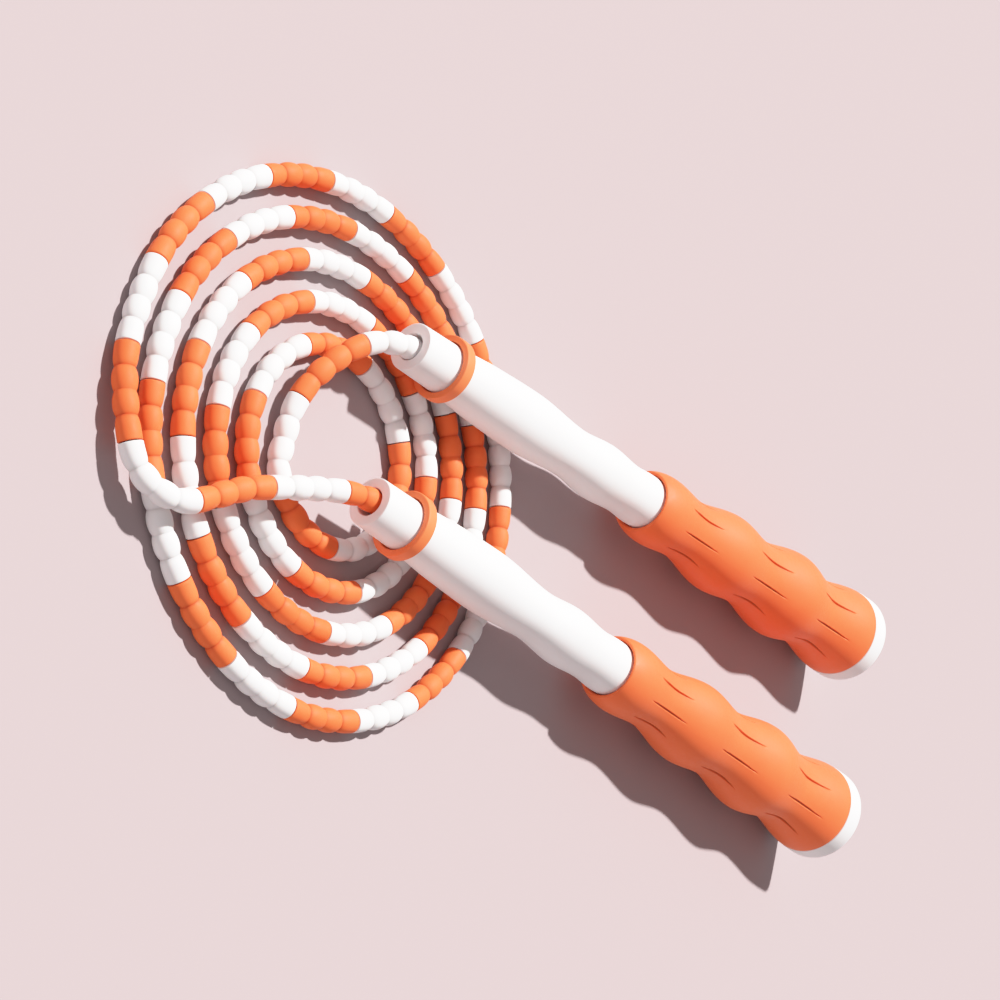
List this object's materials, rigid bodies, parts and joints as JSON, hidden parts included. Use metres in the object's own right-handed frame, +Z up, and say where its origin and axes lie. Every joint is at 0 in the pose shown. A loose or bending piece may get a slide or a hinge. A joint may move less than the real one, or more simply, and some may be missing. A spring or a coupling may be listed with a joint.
{
  "type": "jump rope",
  "caption": "Beaded jump rope laid down in a flat coil, with two long spinning handles lying on it; each has a wavy sleeve, a socketed nose and a pull-out end cap.",
  "frame": {"origin": "on the floor, midway between the two handles and midway along them (centre of the handles' footprint)", "axes": "+X along the handles, from their noses to their end caps; +Y across them; +Z up, z = 0 is the floor"},
  "size_m": [0.3363, 0.152, 0.0312],
  "materials": {
    "white_plastic": "satin",
    "orange_plastic": "satin",
    "orange_grip": "matte silicone",
    "white_bead": "soft satin",
    "orange_bead": "soft satin",
    "core_cord": "braided",
    "washer_steel": "brushed",
    "stopper_brass": "satin"
  },
  "bodies": {
    "rope": {"rope_coil": "orange_bead", "rope_core_a": "core_cord", "rope_core_b": "core_cord", "rope_stopper_a": "stopper_brass", "rope_stopper_b": "stopper_brass", "bead_a1": "white_bead", "bead_a2": "orange_bead", "bead_a3": "white_bead", "bead_b1": "orange_bead", "bead_b2": "white_bead", "bead_b3": "orange_bead", "bead_b4": "white_bead", "bead_b5": "orange_bead", "bead_b6": "white_bead"},
    "handle_a": {"nose_cap_a": "white_plastic", "collar_ring_a": "orange_plastic", "handle_tube_a": "white_plastic", "grip_sleeve_a": "orange_grip", "thrust_washer_a": "washer_steel"},
    "handle_b": {"nose_cap_b": "white_plastic", "collar_ring_b": "orange_plastic", "handle_tube_b": "white_plastic", "grip_sleeve_b": "orange_grip", "thrust_washer_b": "washer_steel"},
    "cap_a": {"end_cap_a": "white_plastic"},
    "cap_b": {"end_cap_b": "white_plastic"}
  },
  "joints": [
    {"name": "handle_spin_a", "type": "hinge", "parent": "rope", "child": "handle_a", "pos_m": [-0.12194, 0.0239, 0.01667], "axis": [0.9994, 0.0349, -0.0044], "continuous": true},
    {"name": "handle_spin_b", "type": "hinge", "parent": "rope", "child": "handle_b", "pos_m": [-0.12534, -0.0239, 0.01667], "axis": [0.9994, -0.0349, -0.0044], "continuous": true},
    {"name": "cap_pull_a", "type": "slide", "parent": "handle_a", "child": "cap_a", "axis": [0.9994, 0.0349, -0.0044], "range_m": [0, 0.013]},
    {"name": "cap_pull_b", "type": "slide", "parent": "handle_b", "child": "cap_b", "axis": [0.9994, -0.0349, -0.0044], "range_m": [0, 0.013]}
  ]
}
